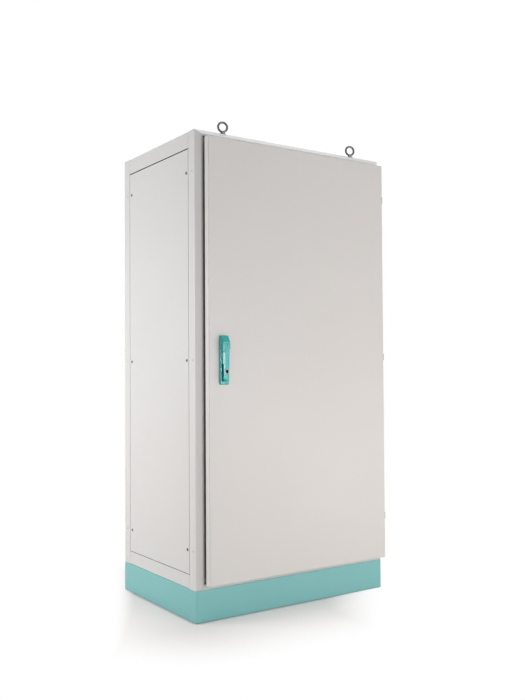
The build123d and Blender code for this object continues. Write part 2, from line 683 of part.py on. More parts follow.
def make_handle():
    """The handle's base on the door, the hub with its spindle, the lever, its pin and its lock."""
    face = Plane(origin=(handle_x, door_front, handle_bottom + handle_height / 2), x_dir=RIGHT, z_dir=FRONT)
    plate = extrude(RectangleRounded(handle_width, handle_height, handle_corner), handle_base_thickness)
    plate = chamfer(plate.faces().sort_by(Axis.Z)[-1].edges(), handle_edge)
    base = face * plate
    pocket_half = handle_width / 2 - handle_pocket_wall
    pocket_low = (handle_x - pocket_half, handle_front - overrun, handle_bottom + handle_pocket_end)
    pocket_floor = handle_front + handle_pocket_depth
    pocket_high = (handle_x + pocket_half, pocket_floor, spindle_z - handle_hub_radius)
    base -= block(pocket_low, pocket_high)
    block_bottom = spindle_z + hub_notch + handle_block_gap
    block_top = handle_top - handle_block_inset
    crest = block_bottom + handle_block_flat_share * (block_top - block_bottom)
    block_front = handle_front - handle_block_rise
    outline = Polygon(
        (door_front, block_bottom), (block_front, block_bottom), (block_front, crest),
        (handle_front, block_top), (door_front, block_top), align=None,
    )
    block_width = handle_width - 2 * handle_block_inset
    start = Plane(origin=(handle_x - block_width / 2, 0, 0), x_dir=BACK, z_dir=RIGHT)
    nose = extrude(start * outline, amount=block_width, dir=RIGHT)
    nose_sides = nose.faces().sort_by(Axis.X)[0].edges() + nose.faces().sort_by(Axis.X)[-1].edges()
    nose_rims = [edge for edge in nose_sides if edge.center().Y < handle_front - handle_edge]
    nose = chamfer(nose_rims, handle_edge)
    turn_start = Vector(handle_x, block_front - overrun, spindle_z)
    turn_radius = handle_hub_radius + handle_block_gap
    nose -= bar(turn_start, BACK, turn_radius, overrun + handle_block_rise)
    swing_low = (handle_x, block_front - overrun, block_bottom - overrun)
    swing_top = spindle_z + lever_top_width / 2 + handle_block_gap
    base += nose - block(swing_low, (handle_x + handle_width, handle_front, swing_top))
    for share in handle_dimple_shares:
        z = block_bottom + share * (block_top - block_bottom)
        dimple = Plane(origin=(handle_x, block_front, z), x_dir=RIGHT, z_dir=FRONT)
        base -= prism(dimple, handle_dimple_radius, knuckle_sides, -handle_dimple_depth, overrun)
    spindle_start = Vector(handle_x, handle_front - overrun, spindle_z)
    base -= bore(spindle_start, BACK, spindle_radius, handle_base_thickness + 2 * overrun)
    screws = []
    for seat in handle_screw_seats():
        reach = door_sheet + handle_screw_reach
        base -= prism(seat, handle_screw_radius + running_clearance, shank_sides, -reach - seat_gap, 0)
        head = prism(seat, handle_screw_head_radius, shank_sides, 0, handle_screw_head_height)
        screws.append(head + prism(seat, handle_screw_radius, shank_sides, -reach, 0))
    save("handle_base", base)
    save("handle_screws", *screws)

    lever_back = handle_front - lever_gap
    lever_front = lever_back - lever_thickness
    pivot = Vector(handle_x, lever_back - lever_thickness / 2, spindle_z)
    knuckle_radius = lever_thickness / 2
    lever_head = hub_notch - lever_tongue_trim
    half = lever_tongue / 2
    tongue_radius = knuckle_radius - lever_skin - lever_tongue_trim
    tongue = bar(pivot + LEFT * half, RIGHT, tongue_radius, lever_tongue)
    riser_low = (handle_x - half, pivot.Y + hub_riser_gap, spindle_z)
    tongue += block(riser_low, (handle_x + half, lever_back, spindle_z + hub_notch + overrun))
    root = spindle_radius - lever_tongue_trim
    root_half = (spindle_radius ** 2 - half ** 2) ** 0.5 - lever_tongue_trim
    root_low = (handle_x - half, pivot.Y, spindle_z - root_half)
    tongue += block(root_low, (handle_x + half, handle_front, spindle_z + root))
    cap_front = lever_front + lever_tongue_trim
    cap = bar(Vector(handle_x, cap_front, spindle_z), BACK, handle_hub_radius, lever_back - cap_front)
    cap_low = (handle_x - handle_width, cap_front - overrun, spindle_z + hub_notch)
    cap_high = (handle_x + handle_width, lever_back + overrun, spindle_z + handle_width)
    swing = (knuckle_radius ** 2 + lever_head ** 2) ** 0.5 + lever_tongue_trim
    swing_room = bar(pivot + LEFT * handle_width, RIGHT, swing, 2 * handle_width)
    hub = tongue + (cap & block(cap_low, cap_high)) - (swing_room - tongue)
    spindle_length = gearbox_back + gearbox_cover_sheet - handle_front
    hub += bar(Vector(handle_x, handle_front, spindle_z), BACK, spindle_radius, spindle_length)
    pin_start = pivot + LEFT * lever_pin_reach
    pin_hole = bore(pin_start + LEFT * seat_gap, RIGHT, lever_pin_radius, lever_pin_reach + handle_width)
    save("handle_hub", hub - pin_hole)

    tip_z = lever_tip_radius - lever_length
    top_half = lever_top_width / 2
    blade = Polygon(
        (-top_half, lever_head), (-top_half, 0), (-lever_tip_radius, tip_z),
        (lever_tip_radius, tip_z), (top_half, 0), (top_half, lever_head), align=None,
    )
    outline = blade + Pos(0, tip_z) * Circle(lever_tip_radius)
    lever = extrude(outline, lever_thickness)
    front_edges = lever.faces().sort_by(Axis.Z)[-1].edges()
    lever = chamfer(front_edges.sort_by(Axis.Y)[:-1], lever_edge)
    grip = top_half - lever_grip_inset
    for side in (-1, 1):
        inner = side * grip
        outer = side * (top_half + lever_grip_slope)
        notch = Polygon(
            (inner, -lever_grip_from - lever_grip_slope), (outer, -lever_grip_from),
            (outer, -lever_grip_to), (inner, lever_grip_slope - lever_grip_to), align=None,
        )
        lever -= extrude(notch, lever_thickness)
    lever = Plane(origin=(handle_x, lever_back, spindle_z), x_dir=RIGHT, z_dir=FRONT) * lever
    heel_low = (handle_x - top_half, pivot.Y, spindle_z)
    heel = block(heel_low, (handle_x + top_half, lever_back, spindle_z + knuckle_radius))
    lever -= block(heel_low, (handle_x + top_half, lever_back, spindle_z + handle_width))
    lever += bar(pivot + LEFT * top_half, RIGHT, knuckle_radius, 2 * top_half) & heel
    slot_half = half + lever_tongue_trim
    slot_low = (handle_x - slot_half, lever_front + lever_skin, spindle_z - lever_slot_below)
    slot_high = (handle_x + slot_half, lever_back + overrun, spindle_z + handle_width)
    lever -= block(slot_low, slot_high)
    scoop_y = lever_back + lever_scoop_radius - lever_scoop_depth
    scoop_centre = Vector(handle_x - handle_width / 2, scoop_y, spindle_z - lever_length)
    lever -= bar(scoop_centre, RIGHT, lever_scoop_radius, handle_width)
    lever -= pin_hole
    lock_z = spindle_z - lock_below_spindle
    lock_seat = Vector(handle_x, lever_back, lock_z)
    lever -= bore(lock_seat + BACK * overrun, FRONT, lock_plug_radius, lever_thickness + 2 * overrun)
    ring_seat = Vector(handle_x, lever_front + lock_recess_depth, lock_z)
    ring_place = Plane(origin=ring_seat, x_dir=RIGHT, z_dir=FRONT)
    lever -= prism(ring_place, lock_recess_radius, 2 * knuckle_sides, 0, overrun)
    save("swing_lever", lever)
    save("lever_pin", bar(pin_start, RIGHT, lever_pin_radius, lever_pin_reach + top_half))
    ring = prism(ring_place, lock_ring_radius, 2 * knuckle_sides, 0, lock_ring_rise)
    save("lock_ring", ring - prism(ring_place, lock_ring_bore, 2 * knuckle_sides, 0, lock_ring_rise))
    plug_front = ring_seat.Y - lock_ring_rise
    plug = bar(lock_seat, FRONT, lock_plug_radius, lever_back - plug_front)
    key_slot = Box(key_slot_width, 2 * key_slot_depth, key_slot_length)
    save("key_plug", plug - Pos(handle_x, plug_front, lock_z) * key_slot)


def involute(angle):
    return tan(angle) - angle


def pinion_outline():
    """The pinion's teeth: straight root, involute flanks and a flat tip on each."""
    base_radius = pitch_radius * cos(radians(pressure_angle))
    root_radius = pitch_radius - rack_addendum - tooth_root_gap
    tip_radius = pitch_radius + pinion_addendum
    thickness = pi * tooth_module / 2 - tooth_backlash / 2
    half_angle = thickness / (2 * pitch_radius) + involute(radians(pressure_angle))
    radii = [root_radius, base_radius, pitch_radius, tip_radius]
    points = []
    for tooth in range(pinion_teeth):
        centre = 2 * pi * tooth / pinion_teeth
        offsets = [half_angle - involute(acos(min(base_radius / r, 1))) for r in radii]
        flank = list(zip(radii, offsets))
        points += [(r * cos(centre - a), r * sin(centre - a)) for r, a in flank]
        points += [(r * cos(centre + a), r * sin(centre + a)) for r, a in reversed(flank)]
    return points


def lock_rod(seat, length):
    """A flat lock rod that ends in a rack: X points away from the pinion and Y towards the rod's tip."""
    slope = tan(radians(pressure_angle))
    pitch = pi * tooth_module
    half_pitch_line = (pitch / 2 - tooth_backlash / 2) / 2
    half_tip = half_pitch_line - rack_addendum * slope
    half_root = half_pitch_line + (rod_inner - pitch_radius) * slope
    tooth_tip = pitch_radius - rack_addendum
    start = -(rack_lead_share + 1) * pitch
    points = [(rod_outer, start), (rod_inner, start)]
    for tooth in range(rack_teeth):
        middle = (tooth - rack_lead_share) * pitch
        points += [(rod_inner, middle - half_root), (tooth_tip, middle - half_tip)]
        points += [(tooth_tip, middle + half_tip), (rod_inner, middle + half_root)]
    shoulder = length - rod_tip_chamfer
    points += [(rod_inner, shoulder), (rod_inner + rod_tip_chamfer, length)]
    points += [(rod_outer - rod_tip_chamfer, length), (rod_outer, shoulder)]
    return extrude(seat * Polygon(*points, align=None), amount=rod_thickness, dir=BACK)


def make_rod_lock():
    """The pinion on the spindle, two racked rods, their gearbox and the guides on the door."""
    pinion = extrude(Polygon(*pinion_outline(), align=None), pinion_face)
    pinion -= bore(DOWN * overrun, UP, spindle_radius, pinion_face + 2 * overrun)
    pinion_seat = Plane(origin=(handle_x, pinion_front + pinion_face, spindle_z), x_dir=RIGHT, z_dir=FRONT)
    save("lock_pinion", pinion_seat * pinion)

    seal_edge = seal_inset + frame_sheet + rod_end_gap
    upper_length = height - seal_edge - spindle_z
    lower_length = spindle_z - plinth_height - seal_edge
    origin = (handle_x, rod_front, spindle_z)
    save("upper_lock_rod", lock_rod(Plane(origin=origin, x_dir=LEFT, z_dir=BACK), upper_length))
    save("lower_lock_rod", lock_rod(Plane(origin=origin, x_dir=RIGHT, z_dir=BACK), lower_length))

    case_half = gearbox_half + gearbox_wall
    low_z = spindle_z - gearbox_height / 2
    high_z = spindle_z + gearbox_height / 2
    case = block((handle_x - case_half, door_back, low_z), (handle_x + case_half, gearbox_back, high_z))
    channel_floor = pinion_front - gearbox_side_gap
    channel_low = (handle_x - gearbox_half, channel_floor, low_z - overrun)
    case -= block(channel_low, (handle_x + gearbox_half, gearbox_back + overrun, high_z + overrun))
    hollow_low = (handle_x - gearbox_half, door_back - overrun, low_z + gearbox_wall)
    case -= block(hollow_low, (handle_x + gearbox_half, channel_floor - gearbox_web, high_z - gearbox_wall))
    spindle_hole = bore(Vector(handle_x, door_front, spindle_z), BACK, spindle_radius, depth)
    save("lock_gearbox", case - spindle_hole)
    cover_low = (handle_x - case_half, gearbox_back, low_z)
    cover_high = (handle_x + case_half, gearbox_back + gearbox_cover_sheet, high_z)
    save("gearbox_cover", block(cover_low, cover_high) - spindle_hole)

    guides = []
    for side, length in ((-1, upper_length), (1, lower_length)):
        for reach in (length - guide_from_end, guide_mid_share * length):
            z = spindle_z - side * reach
            inner = (rod_inner - rod_slide_gap - guide_wall) * side
            outer = (rod_outer + rod_slide_gap + guide_wall) * side
            near, far = sorted((handle_x + inner, handle_x + outer))
            back = rod_front + rod_thickness + rod_slide_gap
            half = guide_height / 2
            body = block((near, door_back, z - half), (far, back + guide_wall, z + half))
            window_low = (near + guide_wall, rod_front - rod_slide_gap, z - guide_height)
            guides.append(body - block(window_low, (far - guide_wall, back, z + guide_height)))
    save("rod_guides", *guides)


make_plinth()
make_frame()
make_panels()
make_floor()
make_mounting_plate()
make_lifting_eyes()
make_hinges()
make_door()
make_handle()
make_rod_lock()
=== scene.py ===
import json
import math

import bmesh
import bpy
from mathutils import Matrix, Vector


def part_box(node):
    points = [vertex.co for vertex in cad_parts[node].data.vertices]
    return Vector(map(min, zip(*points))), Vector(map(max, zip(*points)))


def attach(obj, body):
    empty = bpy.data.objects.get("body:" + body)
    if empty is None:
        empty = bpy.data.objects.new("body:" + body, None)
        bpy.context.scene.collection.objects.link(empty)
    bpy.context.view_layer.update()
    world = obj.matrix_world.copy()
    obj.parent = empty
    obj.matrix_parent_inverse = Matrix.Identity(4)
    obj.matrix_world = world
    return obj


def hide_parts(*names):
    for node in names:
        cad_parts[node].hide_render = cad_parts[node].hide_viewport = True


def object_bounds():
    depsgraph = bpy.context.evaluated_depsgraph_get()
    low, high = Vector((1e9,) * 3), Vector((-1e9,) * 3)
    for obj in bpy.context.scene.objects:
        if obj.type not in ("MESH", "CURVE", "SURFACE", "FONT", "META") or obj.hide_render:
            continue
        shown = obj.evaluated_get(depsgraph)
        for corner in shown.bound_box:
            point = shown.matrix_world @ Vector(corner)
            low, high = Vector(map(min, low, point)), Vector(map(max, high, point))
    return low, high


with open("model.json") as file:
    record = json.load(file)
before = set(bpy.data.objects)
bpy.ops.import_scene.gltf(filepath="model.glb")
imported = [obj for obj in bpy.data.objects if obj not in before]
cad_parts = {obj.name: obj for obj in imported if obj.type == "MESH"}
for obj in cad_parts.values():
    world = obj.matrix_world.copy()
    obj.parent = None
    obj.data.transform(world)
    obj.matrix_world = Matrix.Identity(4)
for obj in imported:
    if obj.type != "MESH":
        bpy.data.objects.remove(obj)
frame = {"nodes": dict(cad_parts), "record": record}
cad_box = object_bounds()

NODES = frame["nodes"]
RECORD = frame["record"]
SLOT_OF = {row["node"]: row["material_slot"] for row in RECORD["subparts"]}
BODY_OF = {node: body for body, nodes in RECORD["behaviour"]["bodies"].items() for node in nodes}
UP = Vector((0, 0, 1))
FRONT = Vector((0, -1, 0))
BACK = Vector((0, 1, 0))
X_AXIS, Y_AXIS, Z_AXIS = range(3)
WHITE = (1.0, 1.0, 1.0, 1.0)


def srgb(red, green, blue):
    """An 8-bit display colour as the linear colour that a shader takes."""
    def linear(value):
        share = value / 255
        return share / 12.92 if share <= 0.04045 else ((share + 0.055) / 1.055) ** 2.4
    return (linear(red), linear(green), linear(blue), 1.0)


def scaled(colour, factor):
    return tuple(channel * factor for channel in colour[:3]) + (1.0,)


# Materials

BEVEL_SAMPLES = 4
OPEN_SAMPLES = 8
# Where a colour mix node keeps its two colours and its result
MIX_COLOURS = (6, 7)
MIX_RESULT = 2
# The cosine between a face and its eased normal, at a full edge and on a flat face
EDGE_COSINES = (0.75, 0.98)


class Shader:
    """A material under construction: one Principled shader and the nodes that feed it."""

    def __init__(self, name, **values):
        self.material = bpy.data.materials.new(name)
        self.material.use_nodes = True
        self.tree = self.material.node_tree
        self.tree.nodes.clear()
        self.output = self.node("OutputMaterial")
        self.bsdf = self.node("BsdfPrincipled", **values)
        self.link(self.bsdf.outputs["BSDF"], self.output.inputs["Surface"])
        self.coordinates = self.node("TexCoord").outputs["Object"]

    def node(self, kind, **values):
        """A new node with some inputs set; an input's name is written with _ for each space."""
        node = self.tree.nodes.new("ShaderNode" + kind)
        for key, value in values.items():
            node.inputs[key.replace("_", " ")].default_value = value
        return node

    def link(self, source, target):
        self.tree.links.new(source, target)

    def drive(self, name, source):
        """Let the output of a node set an input of the Principled shader."""
        self.link(source, self.bsdf.inputs[name])

    def stretched(self, scale):
        """Object coordinates with their own scale along each axis."""
        node = self.node("Mapping", Scale=scale)
        self.link(self.coordinates, node.inputs["Vector"])
        return node.outputs["Vector"]

    def noise(self, scale, detail, roughness=0.5, vector=None):
        node = self.node("TexNoise", Scale=scale, Detail=detail, Roughness=roughness)
        self.link(vector or self.coordinates, node.inputs["Vector"])
        return node.outputs["Fac"]

    def cells(self, scale):
        """A patchwork of crystals, each with its own value."""
        node = self.node("TexVoronoi", Scale=scale)
        self.link(self.coordinates, node.inputs["Vector"])
        split = self.node("SeparateColor")
        self.link(node.outputs["Color"], split.inputs["Color"])
        return split.outputs["Red"]

    def spread(self, value, low, high, start=0.25, end=0.75, kind="LINEAR"):
        """A value from start to end, by default where most noise lies, brought to another range."""
        node = self.node("MapRange", From_Min=start, From_Max=end, To_Min=low, To_Max=high)
        node.interpolation_type = kind
        self.link(value, node.inputs["Value"])
        return node.outputs["Result"]

    def mix(self, factor, first, second):
        """A colour between two, each a colour or the output of a node."""
        node = self.node("Mix")
        node.data_type = "RGBA"
        self.link(factor, node.inputs["Factor"])
        for index, colour in zip(MIX_COLOURS, (first, second)):
            if isinstance(colour, tuple):
                node.inputs[index].default_value = colour
            else:
                self.link(colour, node.inputs[index])
        return node.outputs[MIX_RESULT]

    def vector(self, operation, source, other=(0.0, 0.0, 0.0), result="Vector"):
        """One operation on a vector, with a second vector where it takes two."""
        node = self.node("VectorMath")
        node.operation = operation
        node.inputs[1].default_value = other
        self.link(source, node.inputs[0])
        return node.outputs[result]

    def open_share(self, reach):
        """How open a point is: near 1 on free faces, near 0 at the bottom of a narrow gap."""
        node = self.node("AmbientOcclusion", Distance=reach)
        node.samples = OPEN_SAMPLES
        return node.outputs["AO"]

    def eased_normal(self, radius):
        """The direction of the surface, turned smoothly over its edges."""
        node = self.node("Bevel", Radius=radius)
        node.samples = BEVEL_SAMPLES
        return node.outputs["Normal"]

    def edge_share(self, radius):
        """0 on flat faces and up to about 1 along the edges."""
        dot = self.node("VectorMath")
        dot.operation = "DOT_PRODUCT"
        self.link(self.eased_normal(radius), dot.inputs[0])
        self.link(self.node("NewGeometry").outputs["Normal"], dot.inputs[1])
        return self.spread(dot.outputs["Value"], 1.0, 0.0, *EDGE_COSINES)

    def patches(self, scale, detail):
        """Noise over the whole range from 0 to 1."""
        return self.spread(self.noise(scale, detail), 0.0, 1.0)

    def shaded(self, share, colour, low, high):
        """A colour between two of its shades, each a factor."""
        return self.mix(share, scaled(colour, low), scaled(colour, high))

    def vary_roughness(self, value, middle, below, above):
        """Let the output of a node move the roughness below and above a middle."""
        self.drive("Roughness", self.spread(value, middle - below, middle + above))

    def bump(self, height, strength, distance, normal=None):
        """The direction of a bumpy surface, over another direction if there is one."""
        node = self.node("Bump", Strength=strength, Distance=distance)
        self.link(height, node.inputs["Height"])
        if normal:
            self.link(normal, node.inputs["Normal"])
        return node.outputs["Normal"]


PAINT_SHADE_REACH = 0.04
PAINT_SHADE_RANGE = (0.18, 0.30)
PAINT_SPECULAR = 0.5
PEEL_STRENGTH = 0.10


def powder_coat(name, colour, roughness, edge):
    """Baked powder paint: orange peel, cloudiness, edges lightened partly as wear and partly as a painted
    highlight, painted shade in deep gaps, and small changes of gloss.
    """
    shader = Shader(name)
    body = shader.shaded(shader.patches(scale=2.3, detail=4.0), colour, low=0.975, high=1.02)
    fleck = scaled(colour, 0.985)
    skin = shader.mix(shader.patches(scale=420.0, detail=2.0), body, fleck)
    # Edges are lightened: partly paint worn thin there, partly a painted highlight along the folds.
    bright_edge = scaled(colour, 1.2)
    worn_and_highlit = shader.mix(shader.edge_share(edge), skin, bright_edge)
    # Painted shade: where nearby faces close a point in, the colour turns almost black and the reflection
    # fades out.
    free = shader.open_share(PAINT_SHADE_REACH)
    gap_shade_share = shader.spread(free, 1.0, 0.0, *PAINT_SHADE_RANGE)
    painted_gap_shade = scaled(colour, 0.02)
    shader.drive("Specular IOR Level", shader.spread(free, 0.0, PAINT_SPECULAR, *PAINT_SHADE_RANGE))
    shader.drive("Base Color", shader.mix(gap_shade_share, worn_and_highlit, painted_gap_shade))
    shader.vary_roughness(shader.noise(scale=9.0, detail=3.0), roughness, below=0.04, above=0.05)
    peel = shader.noise(scale=330.0, detail=2.0)
    pores = shader.noise(scale=1500.0, detail=2.0)
    normal = shader.bump(peel, PEEL_STRENGTH, distance=0.0006, normal=shader.eased_normal(edge))
    normal = shader.bump(pores, PEEL_STRENGTH, distance=0.0002, normal=normal)
    shader.drive("Normal", normal)
    return shader.material


PLASTIC_SHADE_REACH = 0.012
PLASTIC_SHADE_RANGE = (0.10, 0.45)
PLASTIC_SHADE_SHARE = 0.7


def moulded_plastic(name, colour, roughness, edge, specular=0.5):
    """Moulded plastic: a fine spark-eroded skin, edges lightened as wear, painted shade in narrow gaps, and
    small changes of gloss.
    """
    shader = Shader(name, Specular_IOR_Level=specular)
    body = shader.shaded(shader.patches(scale=45.0, detail=3.0), colour, low=0.93, high=1.05)
    # Edges are lightened as wear.
    bright_edge = scaled(colour, 1.25)
    worn_and_highlit = shader.mix(shader.edge_share(edge), body, bright_edge)
    # Painted shade: the colour darkens where nearby faces close a point in.
    free = shader.open_share(PLASTIC_SHADE_REACH)
    gap_shade_share = shader.spread(free, PLASTIC_SHADE_SHARE, 0.0, *PLASTIC_SHADE_RANGE)
    painted_gap_shade = scaled(colour, 0.15)
    shader.drive("Base Color", shader.mix(gap_shade_share, worn_and_highlit, painted_gap_shade))
    shader.vary_roughness(shader.noise(scale=160.0, detail=4.0), roughness, below=0.05, above=0.07)
    skin = shader.noise(scale=2600.0, detail=2.0)
    normal = shader.bump(skin, strength=0.04, distance=0.0002, normal=shader.eased_normal(edge))
    shader.drive("Normal", normal)
    return shader.material


# Scale of the grain's noise across the grain and along it
GRAIN_ACROSS = 900.0
GRAIN_ALONG = 30.0


def zinc(name, colour, roughness, edge, grain_axis=Z_AXIS, spangle=0.08):
    """Zinc-plated or galvanised steel: drawn grain, dull patches and a crystal pattern."""
    shader = Shader(name, Metallic=1.0)
    plated = shader.shaded(shader.cells(scale=70.0), colour, low=1.0 - spangle, high=1.0 + spangle)
    dull = scaled(colour, 0.9)
    shader.drive("Base Color", shader.mix(shader.patches(scale=14.0, detail=4.0), plated, dull))
    stretch = [GRAIN_ACROSS, GRAIN_ACROSS, GRAIN_ACROSS]
    stretch[grain_axis] = GRAIN_ALONG
    grain = shader.noise(scale=1.0, detail=3.0, roughness=0.6, vector=shader.stretched(stretch))
    shader.vary_roughness(grain, roughness, below=0.08, above=0.1)
    normal = shader.bump(grain, strength=0.12, distance=0.0002, normal=shader.eased_normal(edge))
    shader.drive("Normal", normal)
    return shader.material


def polished(name, colour, roughness):
    """Polished chrome with faint wipe marks."""
    shader = Shader(name, Metallic=1.0)
    smear = shader.patches(scale=90.0, detail=4.0)
    shader.drive("Base Color", shader.shaded(smear, colour, low=0.95, high=1.0))
    shader.vary_roughness(shader.noise(scale=500.0, detail=3.0), roughness, below=0.0, above=0.06)
    marks = shader.noise(scale=900.0, detail=2.0)
    shader.drive("Normal", shader.bump(marks, strength=0.03, distance=0.0001))
    return shader.material


def foam_rubber(name, colour):
    """Foamed seal: pores and a dusty, uneven black."""
    shader = Shader(name)
    dust = shader.patches(scale=60.0, detail=4.0)
    shader.drive("Base Color", shader.shaded(dust, colour, low=1.0, high=1.8))
    pores = shader.noise(scale=1900.0, detail=3.0, roughness=0.7)
    shader.drive("Roughness", shader.spread(pores, low=0.75, high=0.95))
    shader.drive("Normal", shader.bump(pores, strength=0.5, distance=0.0005))
    return shader.material


MATERIALS = {
    "body_paint": powder_coat("body_paint", srgb(213, 213, 212), roughness=0.42, edge=0.0014),
    "door_paint": powder_coat("door_paint", srgb(213, 212, 210), roughness=0.42, edge=0.0012),
    "plinth_paint": powder_coat("plinth_paint", srgb(123, 189, 189), roughness=0.36, edge=0.0014),
    "handle_plastic": moulded_plastic("handle_plastic", srgb(26, 176, 174), roughness=0.13, edge=0.0008),
    "gasket_rubber": foam_rubber("gasket_rubber", srgb(34, 34, 34)),
    "lock_chrome": polished("lock_chrome", srgb(176, 178, 178), roughness=0.16),
    "key_black": moulded_plastic("key_black", srgb(16, 16, 17), roughness=0.45, edge=0.0004, specular=0.1),
    "black_plastic": moulded_plastic("black_plastic", srgb(40, 40, 41), roughness=0.5, edge=0.0006),
    "plug_plastic": moulded_plastic("plug_plastic", srgb(200, 200, 198), roughness=0.45, edge=0.0004),
    "zinc_steel": zinc("zinc_steel", srgb(186, 187, 186), roughness=0.34, edge=0.0005),
}
# Other finishes of the zinc_steel slot; the screws' darker zinc is painted shade
GALVANISED = zinc("galvanised_sheet", srgb(178, 181, 183), roughness=0.42, edge=0.0006, spangle=0.2)
# Painted shade: a darker copy of the zinc stands in for the shade on the screw heads.
SHADED_SCREW_ZINC = zinc("shaded_screw_zinc", srgb(112, 113, 112), roughness=0.38, edge=0.0003, grain_axis=X_AXIS)
EYE_ZINC = zinc("eye_zinc", srgb(100, 100, 101), roughness=0.24, edge=0.0005)
HINGE_ZINC = zinc("hinge_zinc", srgb(128, 130, 131), roughness=0.5, edge=0.0006)
SHEET_NODES = (
    "mounting_plate", "plate_brackets", "gland_plate_front", "gland_plate_middle", "gland_plate_rear",
)

for node_name, node in NODES.items():
    node.data.materials.clear()
    node.data.materials.append(GALVANISED if node_name in SHEET_NODES else MATERIALS[SLOT_OF[node_name]])


# Mesh building

ROUND_STEPS = 5
# Metres between points that count as one, and the digits by which points are matched and boxes sorted
SAME_PLACE = 1e-6
SAME_PLACE_DIGITS = 6
ORDER_DIGITS = 4
# Copies of CAD nodes: faces this flat are joined, and corners sharper than this are rounded in steps
FLAT_ANGLE = math.radians(0.5)
CORNER_ANGLE = math.radians(20)
EASE_STEPS = 3
# Degrees between two faces above which the edge between them is drawn sharp
CREASE = 35
EASED_CREASE = 32


def seat(origin, out):
    """A placing matrix at a point, with its Z along a direction."""
    turn = UP.rotation_difference(Vector(out)).to_matrix().to_4x4()
    return Matrix.Translation(Vector(origin)) @ turn


def ring_of(mesh, points, matrix):
    return [mesh.verts.new(matrix @ Vector(point)) for point in points]


def bridge(mesh, first, second):
    """Faces between two rings of as many points."""
    count = len(first)
    for index in range(count):
        after = (index + 1) % count
        mesh.faces.new((first[index], first[after], second[after], second[index]))


def bridge_round(mesh, rings):
    """Faces from each ring to the next, and from the last back to the first."""
    for first, second in zip(rings, rings[1:] + rings[:1]):
        bridge(mesh, first, second)


def circle(radius, height, sides):
    angles = [2 * math.pi * index / sides for index in range(sides)]
    return [(radius * math.cos(angle), radius * math.sin(angle), height) for angle in angles]


def lathe(mesh, profile, matrix, sides):
    """A turned form through (radius, height) pairs; its first ring is closed and its last is left open."""
    rings = [ring_of(mesh, circle(radius, height, sides), matrix) for radius, height in profile]
    mesh.faces.new(list(reversed(rings[0])))
    for first, second in zip(rings, rings[1:]):
        bridge(mesh, first, second)
    return rings


def rounded_profile(radius, height, edge):
    """The outer line of a disc whose top edge is rounded."""
    arc = [math.pi / 2 * step / ROUND_STEPS for step in range(ROUND_STEPS + 1)]
    return [(radius, 0.0)] + [
        (radius - edge + edge * math.cos(angle), height - edge + edge * math.sin(angle)) for angle in arc
    ]


def piece(name, mesh, body, slot, replaced=(), crease=CREASE, material=None):
    """Turn a mesh into a piece of the object; its material is the slot's own, or a finish of that kind."""
    bmesh.ops.recalc_face_normals(mesh, faces=mesh.faces)
    data = bpy.data.meshes.new(name)
    mesh.to_mesh(data)
    mesh.free()
    data.shade_smooth()
    data.set_sharp_from_angle(angle=math.radians(crease))
    data.materials.append(material or MATERIALS[slot])
    thing = bpy.data.objects.new(name, data)
    bpy.context.scene.collection.objects.link(thing)
    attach(thing, body)
    if replaced:
        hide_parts(*replaced)
    return thing


def eased(name, node_name, radius, material=None):
    """A copy of a CAD node whose edges are rounded, in place of the node."""
    mesh = bmesh.new()
    mesh.from_mesh(NODES[node_name].data)
    bmesh.ops.remove_doubles(mesh, verts=mesh.verts, dist=SAME_PLACE)
    bmesh.ops.dissolve_limit(mesh, angle_limit=FLAT_ANGLE, verts=mesh.verts, edges=mesh.edges)
    sharp = [edge for edge in mesh.edges if edge.is_manifold and edge.calc_face_angle() > CORNER_ANGLE]
    bmesh.ops.bevel(
        mesh, geom=sharp, offset=radius, offset_type="OFFSET", segments=EASE_STEPS, profile=0.5,
        affect="EDGES", clamp_overlap=True,
    )
    body, slot = BODY_OF[node_name], SLOT_OF[node_name]
    thing = piece(name, mesh, body, slot, (node_name,), crease=EASED_CREASE, material=material)
    flat_faces = thing.modifiers.new("flat_faces", "WEIGHTED_NORMAL")
    flat_faces.keep_sharp = True


def islands(node_name):
    """The boxes of the separate solids of a CAD node, as (lowest, highest) corners."""
    data = NODES[node_name].data
    parent = list(range(len(data.vertices)))
    places = {}

    def root(index):
        while parent[index] != index:
            parent[index] = parent[parent[index]]
            index = parent[index]
        return index

    for vertex in data.vertices:
        key = tuple(round(value, SAME_PLACE_DIGITS) for value in vertex.co)
        parent[root(vertex.index)] = root(places.setdefault(key, vertex.index))
    for edge in data.edges:
        parent[root(edge.vertices[0])] = root(edge.vertices[1])
    groups = {}
    for vertex in data.vertices:
        groups.setdefault(root(vertex.index), []).append(vertex.co)
    boxes = []
    for points in groups.values():
        low = Vector(min(point[axis] for point in points) for axis in range(3))
        high = Vector(max(point[axis] for point in points) for axis in range(3))
        boxes.append((low, high))
    return sorted(boxes, key=lambda box: tuple(round(value, ORDER_DIGITS) for value in box[0]))


# Screws and plugs

SCREW_HEAD_RADIUS = 0.006
SCREW_HEAD_HEIGHT = 0.0022
SCREW_SHANK_RADIUS = 0.0025
SCREW_SIDES = 40
SCREW_ROUND_SHARE = 0.6
# A cross recess: length and half width of its arms as shares of the head's radius, at its mouth and floor
RECESS_MOUTH_SHARES = (0.56, 0.14)
RECESS_FLOOR_SHARES = (0.42, 0.11)
RECESS_FLOOR_HEIGHT_SHARE = 0.35
SMALLEST_DIVISOR = 1e-6
SHANK_SIDES = 16
SHANK_TIP_SHARE = 0.8
SHANK_TAPER_SHARE = 0.3
PLUG_HEAD_RADIUS = 0.005
PLUG_HEAD_HEIGHT = 0.0014
PLUG_STEM_RADIUS = 0.0036
PLUG_SIDES = 32
PLUG_ROUND_SHARE = 0.9
PLUG_DIMPLE_RADIUS = 0.0022
PLUG_DIMPLE_FLOOR_RADIUS = 0.0018
PLUG_DIMPLE_FLOOR_SHARE = 0.6


